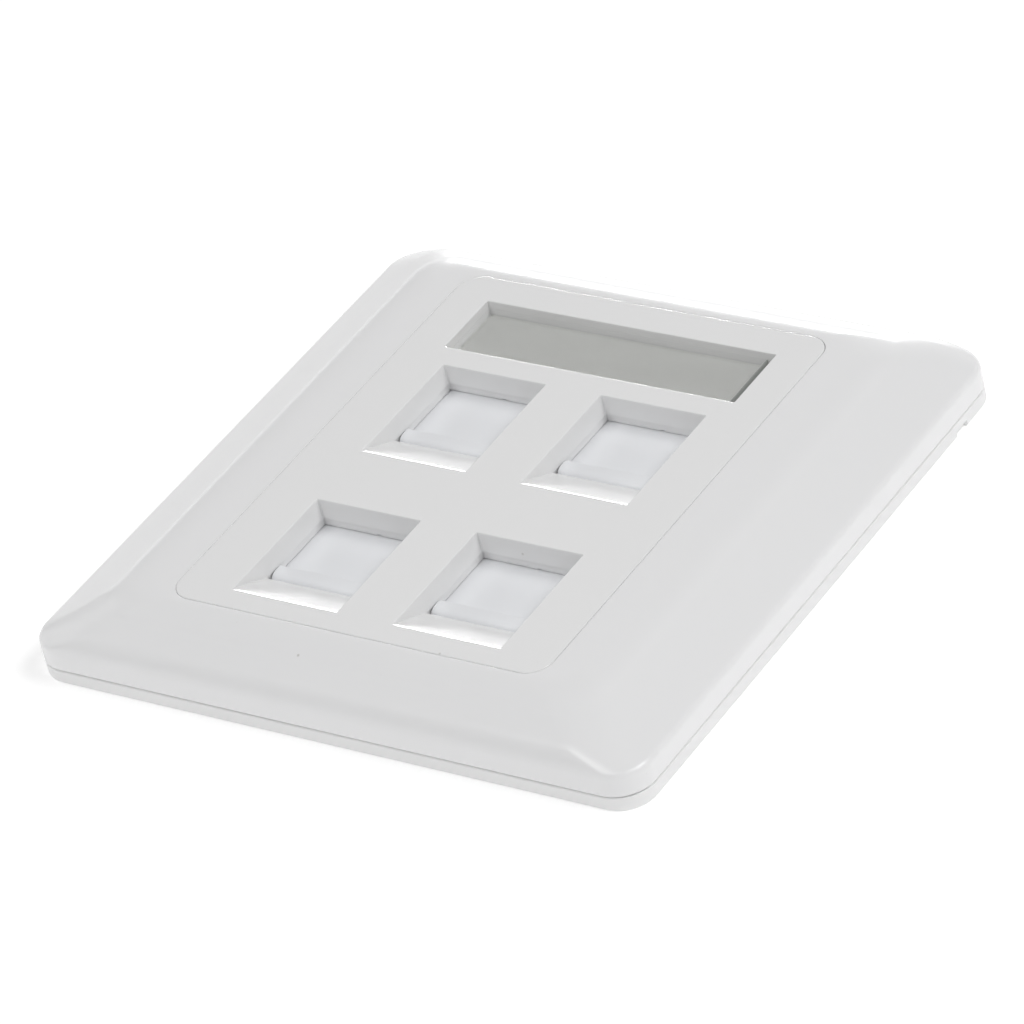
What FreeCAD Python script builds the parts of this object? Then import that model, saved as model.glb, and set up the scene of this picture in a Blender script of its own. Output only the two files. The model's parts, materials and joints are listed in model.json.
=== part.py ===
import FreeCAD
import Part
import math
import os

from FreeCAD import Vector

# A square wall faceplate with four shuttered jack ports and a label strip.
# Frame: origin at the centre of the back face, +X right, +Y up towards the label, +Z out of the wall.
# All sizes are in millimetres. Port features use u and v, which are x and y from the port's own centre.
# The ports and what moves in them set the size of the panel, and the panel sets the size of the plate,
# which comes to 86 mm square.

# Plate section: base, wall, rounded edge, sloping band, crease, pillowed shoulder, flat front
HEIGHT = 9.9              # back face to the flat front
BASE_EDGE = 2.0           # thickness of the base plate, seen as the lower rim
SEAM = 0.15               # parting line between the base and the cover
WALL = 1.5                # thickness of the cover's shell
WALL_TOP = 4.45           # height where the upright wall ends
PLATE_CORNER = 4.6        # plan radius of the corners
SIDE_BORDER = 16.6        # panel's edge to the plate's edge, left and right
END_BORDER = 8.8          # the same at the top and bottom
SIDE_ROUND = 1.0          # radius over the left and right edges
END_ROUND = 3.4           # radius over the top and bottom edges
BAND_SLOPE = math.radians(24.0)
CREASE_DROP = 1.3         # crease below the flat front
SHOULDER_SLOPE = math.radians(32.0)
SIDE_FLAT = 2.1           # flat strip from the window to the shoulder, left and right
END_FLAT = 0.3            # the same at the top and bottom
OUTER_STEPS = (1, 4, 5)   # levels over the side edges, the end edges and the shoulder, outside
INNER_STEPS = (1, 2, 2)   # the same inside the shell

# Port panel, the flat insert
PANEL_CORNER = 3.0
PANEL_T = 2.0
PANEL_EDGE = 0.25         # rounded edge round its front
PANEL_GAP = 0.15          # groove between the panel and the cover
SKIRT_T = 1.2             # wall under the window's edge and under the panel's edge
SKIRT_DROP = 3.1          # panel's front down to the foot of its skirt
PORT_MARGIN = 3.13        # panel's lower edge to the lower ports
LABEL_BRIDGE = 3.39       # upper ports to the label
LABEL_MARGIN = 4.52       # label to the panel's upper edge
LABEL_INSET = 5.425       # label to the panel's side edges

# Ports
PORT_W = 15.05            # opening at the panel's front
PORT_H = 18.6
WELL_RIM = 0.12           # broken edge round the port, apart from the ramp's side
WELL_WALL = 1.0
WELL_DRAFT = 0.3          # the side walls close in by this much at the draft's depth
TOP_DRAFT = 0.1           # the same for the upper wall
DRAFT_DEPTH = 2.75
WELL_RELIEF = 0.2         # step outwards below the draft, all round the foot of the walls
RAMP_RUN = 6.02           # finger ramp, along v
RAMP_DEPTH = 2.7
RAMP_CROWN = 0.08         # how far the ramp bulges above a straight line
RAMP_HEEL = 3.2           # solid length under the foot of the ramp
GATE_NICK_W = 0.9         # small moulded nick at the foot of the upper wall
GATE_NICK_H = 0.3
GATE_NICK_U = 0.3         # its near side from the port's centre line

# Shutters
SHUTTER_DEPTH = 3.7       # panel's front down to the shutter's face
SHUTTER_T = 1.2
SHUTTER_OVERLAP = 0.93    # shutter beyond the well, each side
SHUTTER_TAIL = 1.5        # shutter under the ramp
SHUTTER_HEAD = 1.0        # shutter beyond the well's top
RUN_GAP = 0.2             # clearance on every face that slides
GUIDE_GAP = 0.25          # the same beside the shutter
BAR_L = 2.5               # finger bar, along v
BAR_H = 1.4
BAR_ROUND = 0.6
BAR_GAP = 0.25            # foot of the ramp to the bar
BAR_STOP_GAP = 0.33       # bar to the top of the port with the shutter open
EAR_L = 1.8               # lug that pushes the spring, along v
EAR_H = 1.8

# Springs
COIL_OD = 2.4
COIL_WIRE = 0.36
COIL_TURNS = 5
COIL_SECTIONS = 9         # wire sections in each turn
COIL_SPARE = 3.8          # length left to the spring when the shutter is open
COIL_END_GAP = 0.1
COIL_LIFT = 0.05          # spring's axis above the middle of the shutter
GUIDE_PIN_R = 0.55
GUIDE_PIN_L = 1.2

# Jack bays behind the panel
BAY_NARROW = 0.075        # bay opening inside the port, each side
BAY_LOW = 4.07            # lower edge of the bay opening above the port's lower edge
BAY_HIGH = 2.07           # its upper edge beyond the port's upper edge
BAY_WALL = 1.3
BAY_FOOT_INSET = 2.0      # guide walls start this far above the port's lower edge
BAY_STEP = 1.2            # thickness of the ledge and the shelf under the shutter
BAY_SPACE_U = 0.17        # free space between bays that stand side by side
BAY_SPACE_V = 0.54        # free space between the lower bays and the upper ones
COLLAR_SPACE = 0.405      # free space between a bay and the base's collar
GUIDE_T = 1.0
GUIDE_OVER = 0.7          # tall guide walls run on past the shut shutter
END_STOP_T = 0.8
LUG = 2.2
PEG_R = 0.6
PEG_GAP = 0.05
CATCH_DEPTH = 0.8         # ledge and latch recess for the jack
CATCH_Z = 1.2
CATCH_H = 1.4
CATCH_W = 8.0
CHANNEL_T = 0.6
CHANNEL_FLOOR_T = 0.8

# Label
LABEL_H = 10.12
LABEL_GAP = 0.1
LABEL_RIM = 0.12          # broken edge round the recess
WINDOW_DEPTH = 0.95       # panel's front down to the clear strip
WINDOW_T = 1.0
STRIP_SHORT = 1.3         # free space at the strip's right end
CARD_T = 0.3
CARD_INSET = 0.2
LABEL_FLOOR_T = 0.8
LABEL_WALL = 1.0

# Base plate
BASE_BACK_EDGE = 0.3      # broken edge round its back
BASE_SEAM_EDGE = 0.12     # the same at the parting line
COLLAR_T = 1.4
LOCATOR_T = 1.0
LOCATOR_H = 1.0
LOCATOR_GAP = 0.2
RIB_T = 1.0
RIB_Y = 24.0
RIB_X = 8.0
SCREW_OUT = 3.75          # screw centres beyond the panel's side edges, 60.3 mm apart
SLOT_W = 4.2
SLOT_L = 6.2
SCREW_PAD = 1.6           # pad round each slot
SCREW_PAD_H = 0.8
NICK_DROP = 9.4           # small moulded nick on the right edge, below the plate's upper edge
NICK_L = 2.6
NICK_H = 1.0
NICK_DEPTH = 0.6

# Snap hooks of the cover and snap arms of the panel
HOOK_X = 22.0
HOOK_W = 6.0
HOOK_T = 1.1
HOOK_FOOT = 0.3
HOOK_TOP = 4.0
HOOK_BARB = 1.4
HOOK_BARB_H = 0.65
HOOK_BITE = 0.5
HOOK_GAP = 0.1
HOOK_SIDE_GAP = 0.5
ARM_DROP = 10.2           # centres of the upper arms below the panel's upper edge
ARM_W = 5.0
ARM_T = 1.2
ARM_GAP = 0.2
ARM_FOOT = 3.0
ARM_BARB = 0.8
ARM_BARB_H = 1.2
BARB_TIP = 0.2            # upright end of the arm's barb

# Working lengths
LAP = 0.2                 # joined solids share this much
CLEAR = 1.0               # cutting solids stand out past the piece by this much
TOUCH = 0.01
MIN_RADIUS = 0.3

# Heights that follow
PANEL_BACK = HEIGHT - PANEL_T
SEAT_Z = HEIGHT - SKIRT_DROP
SHUTTER_FACE = HEIGHT - SHUTTER_DEPTH
SHUTTER_BACK = SHUTTER_FACE - SHUTTER_T
WELL_FOOT = SHUTTER_FACE + RUN_GAP
BAY_TOP = SHUTTER_BACK - RUN_GAP
COIL_Z = (SHUTTER_FACE + SHUTTER_BACK) / 2 + COIL_LIFT
CHANNEL_FLOOR = COIL_Z - COIL_OD / 2 - RUN_GAP
CHANNEL_TOP = COIL_Z + COIL_OD / 2
CARD_BACK = HEIGHT - WINDOW_DEPTH - WINDOW_T - CARD_T
LABEL_FOOT = CARD_BACK - LABEL_FLOOR_T
COVER_BOTTOM = BASE_EDGE + SEAM
LOCATOR_TOP = BASE_EDGE + LOCATOR_H

# Across a port, outwards from its centre line
WELL_HALF = PORT_W / 2 - WELL_DRAFT
SHUTTER_HALF = PORT_W / 2 + SHUTTER_OVERLAP
GUIDE_IN = SHUTTER_HALF + GUIDE_GAP
GUIDE_OUT = GUIDE_IN + GUIDE_T
COIL_U = GUIDE_OUT + RUN_GAP + COIL_OD / 2
CHANNEL_IN = COIL_U + COIL_OD / 2 + RUN_GAP
CHANNEL_OUT = CHANNEL_IN + CHANNEL_T

# Along a port, upwards from its centre
RAMP_END = -PORT_H / 2 + RAMP_RUN
SHUTTER_LOW = RAMP_END - SHUTTER_TAIL
SHUTTER_HIGH = PORT_H / 2 + SHUTTER_HEAD
TRAVEL = PORT_H - RAMP_RUN - BAR_GAP - BAR_L - BAR_STOP_GAP
END_STOP_V = SHUTTER_HIGH + TRAVEL + RUN_GAP
COIL_REST = TRAVEL + COIL_SPARE
COIL_START = SHUTTER_LOW + EAR_L + COIL_END_GAP
CHANNEL_END = COIL_START + COIL_REST + COIL_END_GAP
BAY_FOOT = -PORT_H / 2 + BAY_FOOT_INSET
BAY_OPEN_LOW = -PORT_H / 2 + BAY_LOW
BAY_OPEN_HIGH = PORT_H / 2 + BAY_HIGH
BAY_OPEN_HALF = PORT_W / 2 - BAY_NARROW

# Panel and plate
PORT_X = (CHANNEL_OUT + BAY_SPACE_U + GUIDE_OUT) / 2
ROW_PITCH = END_STOP_V + END_STOP_T + BAY_SPACE_V - BAY_FOOT
PANEL_W = 2 * (PORT_X + CHANNEL_OUT + COLLAR_SPACE + COLLAR_T)
PANEL_H = PORT_MARGIN + PORT_H + ROW_PITCH + LABEL_BRIDGE + LABEL_H + LABEL_MARGIN
PLATE_X = PANEL_W / 2 + SIDE_BORDER
PLATE_Y = PANEL_H / 2 + END_BORDER
LOWER_ROW = -PANEL_H / 2 + PORT_MARGIN + PORT_H / 2
UPPER_ROW = LOWER_ROW + ROW_PITCH
LABEL_W = PANEL_W - 2 * LABEL_INSET
LABEL_Y = PANEL_H / 2 - LABEL_MARGIN - LABEL_H / 2
SCREW_X = PANEL_W / 2 + SCREW_OUT
NICK_Y = PLATE_Y - NICK_DROP
BETWEEN_CHANNELS = (LOWER_ROW + CHANNEL_END + GUIDE_T + UPPER_ROW + SHUTTER_LOW - COIL_END_GAP) / 2
ARM_Y = (BETWEEN_CHANNELS, PANEL_H / 2 - ARM_DROP)

PORTS = {
    "lower_left": (-PORT_X, LOWER_ROW),
    "lower_right": (PORT_X, LOWER_ROW),
    "upper_left": (-PORT_X, UPPER_ROW),
    "upper_right": (PORT_X, UPPER_ROW),
}


def box(x0, x1, y0, y1, z0, z1):
    """Block between two corners."""
    return Part.makeBox(x1 - x0, y1 - y0, z1 - z0, Vector(x0, y0, z0))


def rounded_outline(half_x, half_y, radius, z):
    """Closed wire of a rectangle with rounded corners at height z."""
    inset = radius * (1 - math.sqrt(0.5))
    corners = []
    for sx, sy in ((1, 1), (-1, 1), (-1, -1), (1, -1)):
        on_side = Vector(sx * half_x, sy * (half_y - radius), z)
        on_end = Vector(sx * (half_x - radius), sy * half_y, z)
        middle = Vector(sx * (half_x - inset), sy * (half_y - inset), z)
        start, finish = (on_side, on_end) if sx == sy else (on_end, on_side)
        corners.append((start, middle, finish))
    edges = []
    for i, (start, middle, finish) in enumerate(corners):
        edges.append(Part.Arc(start, middle, finish).toShape())
        edges.append(Part.LineSegment(finish, corners[(i + 1) % 4][0]).toShape())
    return Part.Wire(edges)


def rounded_prism(half_x, half_y, radius, z0, z1):
    """Upright prism with rounded corners."""
    return Part.Face(rounded_outline(half_x, half_y, radius, z0)).extrude(Vector(0, 0, z1 - z0))


def rounded_ring(half_x, half_y, radius, thickness, z0, z1):
    """Upright wall that follows a rounded rectangle, measured to its outer face."""
    outer = rounded_prism(half_x, half_y, radius, z0, z1)
    inner_radius = max(radius - thickness, MIN_RADIUS)
    return outer.cut(rounded_prism(half_x - thickness, half_y - thickness, inner_radius, z0, z1))


def side_profile(points, u0, u1):
    """Prism along X of a closed outline given as (y, z) points."""
    corners = [Vector(u0, y, z) for y, z in points]
    return Part.Face(Part.makePolygon(corners + corners[:1])).extrude(Vector(u1 - u0, 0, 0))


def front_profile(points, y0, y1):
    """Prism along Y of a closed outline given as (x, z) points."""
    corners = [Vector(x, y0, z) for x, z in points]
    return Part.Face(Part.makePolygon(corners + corners[:1])).extrude(Vector(0, y1 - y0, 0))


def fuse_all(first, others):
    """One clean solid from shapes that overlap or share a face."""
    return first.fuse(others).removeSplitter()


def half_at(plate_half, z, edge_round):
    """Half width of the cover at height z: upright wall, rounded edge, then the sloping band."""
    band_start = WALL_TOP + edge_round * math.cos(BAND_SLOPE)
    if z <= band_start:
        return plate_half - edge_round + math.sqrt(edge_round ** 2 - (z - WALL_TOP) ** 2)
    edge_inset = edge_round * (1 - math.sin(BAND_SLOPE))
    return plate_half - edge_inset - (z - band_start) / math.tan(BAND_SLOPE)


def bezier(t, start, control, end):
    """Point on a quadratic curve."""
    return (1 - t) ** 2 * start + 2 * t * (1 - t) * control + t ** 2 * end


def cover_levels(steps):
    """Heights and half widths (z, half x, half y) up the outside of the cover."""
    side_steps, end_steps, shoulder_steps = steps
    heights = {WALL_TOP}
    for edge_round, count in ((SIDE_ROUND, side_steps), (END_ROUND, end_steps)):
        for step in range(1, count + 1):
            turn = (math.pi / 2 - BAND_SLOPE) * step / count
            heights.add(WALL_TOP + edge_round * math.sin(turn))
    levels = [
        (z, half_at(PLATE_X, z, SIDE_ROUND), half_at(PLATE_Y, z, END_ROUND)) for z in sorted(heights)]
    crease_z = HEIGHT - CREASE_DROP
    crease_x = half_at(PLATE_X, crease_z, SIDE_ROUND)
    crease_y = half_at(PLATE_Y, crease_z, END_ROUND)
    flat_x = PANEL_W / 2 + PANEL_GAP + SIDE_FLAT
    flat_y = PANEL_H / 2 + PANEL_GAP + END_FLAT
    lead = CREASE_DROP / math.tan(SHOULDER_SLOPE)
    for step in range(shoulder_steps + 1):
        t = step / shoulder_steps
        z = bezier(t, crease_z, HEIGHT, HEIGHT)
        half_x = bezier(t, crease_x, crease_x - lead, flat_x)
        half_y = bezier(t, crease_y, crease_y - lead, flat_y)
        levels.append((z, half_x, half_y))
    return levels


def cover_form(inset, bottom, steps):
    """Outside of the cover, or with an inset the space inside it, as a loft through its level outlines."""
    radius = PLATE_CORNER - inset
    wires = [rounded_outline(PLATE_X - inset, PLATE_Y - inset, radius, bottom)]
    for z, half_x, half_y in cover_levels(steps):
        wires.append(rounded_outline(half_x - inset, half_y - inset, radius, z - inset))
    return Part.makeLoft(wires, True, True)


def cover_hook(side_x, side_y):
    """Snap hook inside the top or bottom wall, with a barb that catches under the base."""
    x0 = side_x * HOOK_X - HOOK_W / 2
    outer = PLATE_Y - WALL
    inner = outer - HOOK_T
    tip = inner - HOOK_BARB
    barb_top = BASE_EDGE / 2 - HOOK_GAP
    outline = [
        (side_y * outer, HOOK_TOP),
        (side_y * outer, HOOK_FOOT),
        (side_y * inner, HOOK_FOOT),
        (side_y * tip, barb_top - HOOK_BARB_H / 2),
        (side_y * tip, barb_top),
        (side_y * inner, barb_top),
        (side_y * inner, HOOK_TOP),
    ]
    return side_profile(outline, x0, x0 + HOOK_W)


def make_cover_frame():
    """Glossy clip-fitted surround: a shell with a window, a skirt round the window and four hooks."""
    shell = cover_form(0.0, COVER_BOTTOM, OUTER_STEPS)
    shell = shell.cut(cover_form(WALL, COVER_BOTTOM - CLEAR, INNER_STEPS))
    window_x = PANEL_W / 2 + PANEL_GAP
    window_y = PANEL_H / 2 + PANEL_GAP
    window_r = PANEL_CORNER + PANEL_GAP
    skirt = rounded_ring(
        window_x + SKIRT_T, window_y + SKIRT_T, window_r + SKIRT_T, SKIRT_T,
        SEAT_Z - SEAM, HEIGHT - WALL / 2)
    skirt = skirt.common(cover_form(WALL / 2, COVER_BOTTOM, INNER_STEPS))
    hooks = [cover_hook(sx, sy) for sx in (-1, 1) for sy in (-1, 1)]
    frame = fuse_all(shell, [skirt] + hooks)
    return frame.cut(rounded_prism(window_x, window_y, window_r, COVER_BOTTOM, HEIGHT + CLEAR))


def screw_slot(side, half_width, half_length, z0, z1):
    """Slot or pad with round ends, long along X, at one screw place."""
    centre = side * SCREW_X
    reach = half_length - half_width
    body = box(centre - reach, centre + reach, -half_width, half_width, z0, z1)
    ends = [
        Part.makeCylinder(half_width, z1 - z0, Vector(centre + end * reach, 0, z0))
        for end in (-1, 1)
    ]
    return fuse_all(body, ends)


def hook_slot(side_x, side_y):
    """Cut in the base for one cover hook: a through slot and the step that the barb sits under."""
    half_w = HOOK_W / 2 + HOOK_SIDE_GAP
    x0, x1 = side_x * HOOK_X - half_w, side_x * HOOK_X + half_w
    outer = PLATE_Y - WALL + HOOK_GAP
    tip = PLATE_Y - WALL - HOOK_T - HOOK_BARB
    ledge = tip + HOOK_BITE
    step_in = tip - HOOK_SIDE_GAP
    y0, y1 = sorted((side_y * ledge, side_y * outer))
    through = box(x0, x1, y0, y1, -CLEAR, LOCATOR_TOP + CLEAR)
    y0, y1 = sorted((side_y * step_in, side_y * ledge))
    return through.fuse(box(x0, x1, y0, y1, -CLEAR, BASE_EDGE / 2))


def base_ribs():
    """Short ribs that tie the collar to the locating wall."""
    ribs = []
    collar_x, collar_y = PANEL_W / 2 - COLLAR_T / 2, PANEL_H / 2 - COLLAR_T / 2
    reach = WALL + LOCATOR_GAP + LOCATOR_T / 2
    for side in (-1, 1):
        x0, x1 = sorted((side * collar_x, side * (PLATE_X - reach)))
        for y in (-RIB_Y, RIB_Y):
            ribs.append(box(x0, x1, y - RIB_T / 2, y + RIB_T / 2, BASE_EDGE / 2, LOCATOR_TOP))
        y0, y1 = sorted((side * collar_y, side * (PLATE_Y - reach)))
        for x in (-RIB_X, RIB_X):
            ribs.append(box(x - RIB_T / 2, x + RIB_T / 2, y0, y1, BASE_EDGE / 2, LOCATOR_TOP))
    return ribs


def arm_window(side, y):
    """Window in the collar for the barb of one snap arm."""
    half_w = ARM_W / 2 + HOOK_SIDE_GAP
    x0, x1 = sorted((side * (PANEL_W / 2 - COLLAR_T - CLEAR), side * (PANEL_W / 2 + CLEAR)))
    return box(x0, x1, y - half_w, y + half_w, ARM_FOOT - HOOK_GAP, ARM_FOOT + ARM_BARB_H + HOOK_GAP)


def make_base_plate():
    """Wall base: rimmed square frame with a collar that carries the panel and two slotted screw holes."""
    collar_x, collar_y = PANEL_W / 2, PANEL_H / 2
    rim_levels = (
        (0.0, BASE_BACK_EDGE), (BASE_BACK_EDGE, 0.0), (BASE_EDGE - BASE_SEAM_EDGE, 0.0), (BASE_EDGE, BASE_SEAM_EDGE))
    plate = Part.makeLoft([
        rounded_outline(PLATE_X - inset, PLATE_Y - inset, PLATE_CORNER - inset, z)
        for z, inset in rim_levels], True, True)
    locator_in = WALL + LOCATOR_GAP
    added = [
        rounded_ring(collar_x, collar_y, PANEL_CORNER, COLLAR_T, BASE_EDGE, SEAT_Z),
        rounded_ring(PLATE_X - locator_in, PLATE_Y - locator_in, PLATE_CORNER - locator_in, LOCATOR_T,
                     BASE_EDGE, LOCATOR_TOP)]
    added += base_ribs()
    for side in (-1, 1):
        added.append(screw_slot(
            side, SLOT_W / 2 + SCREW_PAD, SLOT_L / 2 + SCREW_PAD, BASE_EDGE / 2, BASE_EDGE + SCREW_PAD_H))
    base = fuse_all(plate, added)
    cuts = [rounded_prism(
        collar_x - COLLAR_T, collar_y - COLLAR_T, PANEL_CORNER - COLLAR_T, -CLEAR, SEAT_Z + CLEAR)]
    for side in (-1, 1):
        cuts.append(screw_slot(side, SLOT_W / 2, SLOT_L / 2, -CLEAR, BASE_EDGE + SCREW_PAD_H + CLEAR))
        cuts.extend(arm_window(side, y) for y in ARM_Y)
        cuts.extend(hook_slot(side, side_y) for side_y in (-1, 1))
    cuts.append(box(
        PLATE_X - NICK_DEPTH, PLATE_X + CLEAR, NICK_Y - NICK_L / 2, NICK_Y + NICK_L / 2, -CLEAR, NICK_H))
    return base.cut(cuts)


def ramp_block(u, v):
    """Solid that closes the lower end of a well: its upper face is the crowned finger ramp."""
    start = u - PORT_W / 2 - CLEAR
    rim = Vector(start, v - PORT_H / 2, HEIGHT)
    foot = Vector(start, v + RAMP_END, HEIGHT - RAMP_DEPTH)
    crown = (rim + foot) * 0.5 + Vector(0, 0, RAMP_CROWN)
    below = [
        Vector(start, foot.y, WELL_FOOT - CLEAR), Vector(start, rim.y - CLEAR, WELL_FOOT - CLEAR),
        Vector(start, rim.y - CLEAR, HEIGHT)]
    edges = [Part.Arc(rim, crown, foot).toShape()]
    for first, second in zip([foot] + below, below + [rim]):
        edges.append(Part.LineSegment(first, second).toShape())
    return Part.Face(Part.Wire(edges)).extrude(Vector(PORT_W + 2 * CLEAR, 0, 0))


def well_space(u, v):
    """Space inside one port: drafted walls with a step at their foot, closed below by the finger ramp."""
    outlines = []
    levels = ((0.0, -WELL_RIM, -WELL_RIM), (WELL_RIM, 0.0, 0.0), (DRAFT_DEPTH, WELL_DRAFT, TOP_DRAFT))
    for depth, inset, top_inset in levels:
        half_w = PORT_W / 2 - inset
        low, top, z = v - PORT_H / 2, v + PORT_H / 2 - top_inset, HEIGHT - depth
        corners = [
            Vector(u - half_w, low, z), Vector(u + half_w, low, z),
            Vector(u + half_w, top, z), Vector(u - half_w, top, z)]
        outlines.append(Part.makePolygon(corners + corners[:1]))
    upper = Part.makeLoft(outlines, True, True)
    step_half = WELL_HALF + WELL_RELIEF
    step_top = v + PORT_H / 2 - TOP_DRAFT + WELL_RELIEF
    lower = box(
        u - step_half, u + step_half, v + RAMP_END, step_top, WELL_FOOT - CLEAR, HEIGHT - DRAFT_DEPTH)
    nick = box(
        u + GATE_NICK_U, u + GATE_NICK_U + GATE_NICK_W, step_top - LAP, step_top + GATE_NICK_H,
        WELL_FOOT - CLEAR, WELL_FOOT + GATE_NICK_H)
    return upper.fuse([lower, nick]).cut(ramp_block(u, v))


def panel_arm(side, y):
    """Snap arm that hangs inside the base's collar with its barb in the collar's window."""
    outer = PANEL_W / 2 - COLLAR_T - ARM_GAP
    inner = outer - ARM_T
    barb_top = ARM_FOOT + ARM_BARB_H
    outline = [
        (side * inner, PANEL_BACK + LAP),
        (side * inner, ARM_FOOT),
        (side * outer, ARM_FOOT),
        (side * (outer + ARM_BARB), barb_top - BARB_TIP),
        (side * (outer + ARM_BARB), barb_top),
        (side * outer, barb_top),
        (side * outer, PANEL_BACK + LAP),
    ]
    return front_profile(outline, y - ARM_W / 2, y + ARM_W / 2)


def lug_centres(u, v):
    """Centres of the two mounting lugs at the foot of one bay."""
    return [(u + side * (GUIDE_IN + LUG / 2), v + BAY_FOOT + LUG / 2) for side in (-1, 1)]


def label_rim():
    """Space of the broken edge round the label recess."""
    outlines = []
    for z, out in ((HEIGHT - LABEL_RIM, 0.0), (HEIGHT, LABEL_RIM)):
        half_x, half_y = LABEL_W / 2 + out, LABEL_H / 2 + out
        corners = [
            Vector(sx * half_x, LABEL_Y + sy * half_y, z) for sx, sy in ((-1, -1), (1, -1), (1, 1), (-1, 1))]
        outlines.append(Part.makePolygon(corners + corners[:1]))
    return Part.makeLoft(outlines, True, True)


def make_port_panel():
    """Flat insert with four port wells, a label recess, a skirt, snap arms and pegs for the bays."""
    half_x, half_y = PANEL_W / 2, PANEL_H / 2
    plate = rounded_prism(half_x, half_y, PANEL_CORNER, PANEL_BACK, HEIGHT)
    front_edges = [e for e in plate.Edges if e.BoundBox.ZMin > HEIGHT - TOUCH]
    plate = plate.makeFillet(PANEL_EDGE, front_edges)
    top = PANEL_BACK + LAP
    added = [
        rounded_ring(half_x, half_y, PANEL_CORNER, SKIRT_T, SEAT_Z, top),
        box(-LABEL_W / 2 - LABEL_WALL, LABEL_W / 2 + LABEL_WALL,
            LABEL_Y - LABEL_H / 2 - LABEL_WALL, LABEL_Y + LABEL_H / 2 + LABEL_WALL, LABEL_FOOT, top)]
    added += [panel_arm(side, y) for side in (-1, 1) for y in ARM_Y]
    cuts = [label_block(0.0, 0.0, CARD_BACK, HEIGHT), label_rim()]
    well_half = PORT_W / 2 + WELL_WALL
    peg_foot = BAY_TOP + RUN_GAP
    for u, v in PORTS.values():
        added.append(box(
            u - well_half, u + well_half, v + RAMP_END - RAMP_HEEL, v + PORT_H / 2 + WELL_WALL,
            WELL_FOOT, top))
        for x, y in lug_centres(u, v):
            added.append(Part.makeCylinder(PEG_R, top - peg_foot, Vector(x, y, peg_foot)))
        cuts.append(well_space(u, v))
    return fuse_all(plate, added).cut(cuts)


def label_block(inset, right_gap, z0, z1):
    """Flat strip that lies in the label recess, with more space at its right end."""
    half_y = LABEL_H / 2 - inset
    return box(inset - LABEL_W / 2, LABEL_W / 2 - right_gap, LABEL_Y - half_y, LABEL_Y + half_y, z0, z1)


def make_shutter(u, v):
    """Sliding dust shutter: plate, rounded finger bar, and an ear with a pin that pushes the spring."""
    plate = box(
        u - SHUTTER_HALF, u + SHUTTER_HALF, v + SHUTTER_LOW, v + SHUTTER_HIGH,
        SHUTTER_BACK, SHUTTER_FACE)
    bar_half = WELL_HALF - RUN_GAP
    bar_front = v + RAMP_END + BAR_GAP
    bar = box(
        u - bar_half, u + bar_half, bar_front, bar_front + BAR_L,
        SHUTTER_FACE - LAP, SHUTTER_FACE + BAR_H)
    top_edges = [
        e for e in bar.Edges
        if e.BoundBox.ZMin > SHUTTER_FACE + BAR_H - TOUCH and e.BoundBox.XLength > bar_half]
    bar = bar.makeFillet(BAR_ROUND, top_edges)
    ear_start = v + SHUTTER_LOW
    ear_end = ear_start + EAR_L
    ear_arm = box(
        u + SHUTTER_HALF - LAP, u + COIL_U, ear_start, ear_end, SHUTTER_BACK, SHUTTER_FACE)
    ear = box(
        u + COIL_U - COIL_OD / 2, u + COIL_U + COIL_OD / 2, ear_start, ear_end,
        COIL_Z - EAR_H / 2, COIL_Z + EAR_H / 2)
    pin = Part.makeCylinder(
        GUIDE_PIN_R, GUIDE_PIN_L + LAP, Vector(u + COIL_U, ear_end - LAP, COIL_Z), Vector(0, 1, 0))
    return fuse_all(plate, [bar, ear_arm, ear, pin])


def make_spring(u, v):
    """Compression spring along Y: square wire sections lofted one after another round a helix."""
    radius = (COIL_OD - COIL_WIRE) / 2
    rise = COIL_REST - COIL_WIRE
    start = Vector(u + COIL_U, v + COIL_START + COIL_WIRE / 2, COIL_Z)
    count = COIL_TURNS * COIL_SECTIONS
    sections = []
    for i in range(count + 1):
        turn = 2 * math.pi * i / COIL_SECTIONS
        outward = Vector(math.cos(turn), 0, math.sin(turn))
        centre = start + outward * radius + Vector(0, rise * i / count, 0)
        ring = []
        for side, end in ((1, 1), (-1, 1), (-1, -1), (1, -1)):
            ring.append(centre + outward * (side * COIL_WIRE / 2) + Vector(0, end * COIL_WIRE / 2, 0))
        sections.append(Part.makePolygon(ring + ring[:1]))
    return Part.makeLoft(sections, True, True)


def spring_channel(u, v):
    """Floor, outer wall and end wall of the channel that holds the spring, with the pin in its end."""
    start, end = v + SHUTTER_LOW - COIL_END_GAP, v + CHANNEL_END
    foot = CHANNEL_FLOOR - CHANNEL_FLOOR_T
    return [
        box(u + GUIDE_OUT - LAP, u + CHANNEL_OUT, start, end + GUIDE_T, foot, CHANNEL_FLOOR),
        box(u + CHANNEL_IN, u + CHANNEL_OUT, start, end + GUIDE_T, foot, CHANNEL_TOP),
        box(u + GUIDE_IN, u + CHANNEL_OUT, end, end + GUIDE_T, foot, CHANNEL_TOP),
        Part.makeCylinder(
            GUIDE_PIN_R, GUIDE_PIN_L + LAP, Vector(u + COIL_U, end + LAP, COIL_Z), Vector(0, -1, 0)),
    ]


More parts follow.
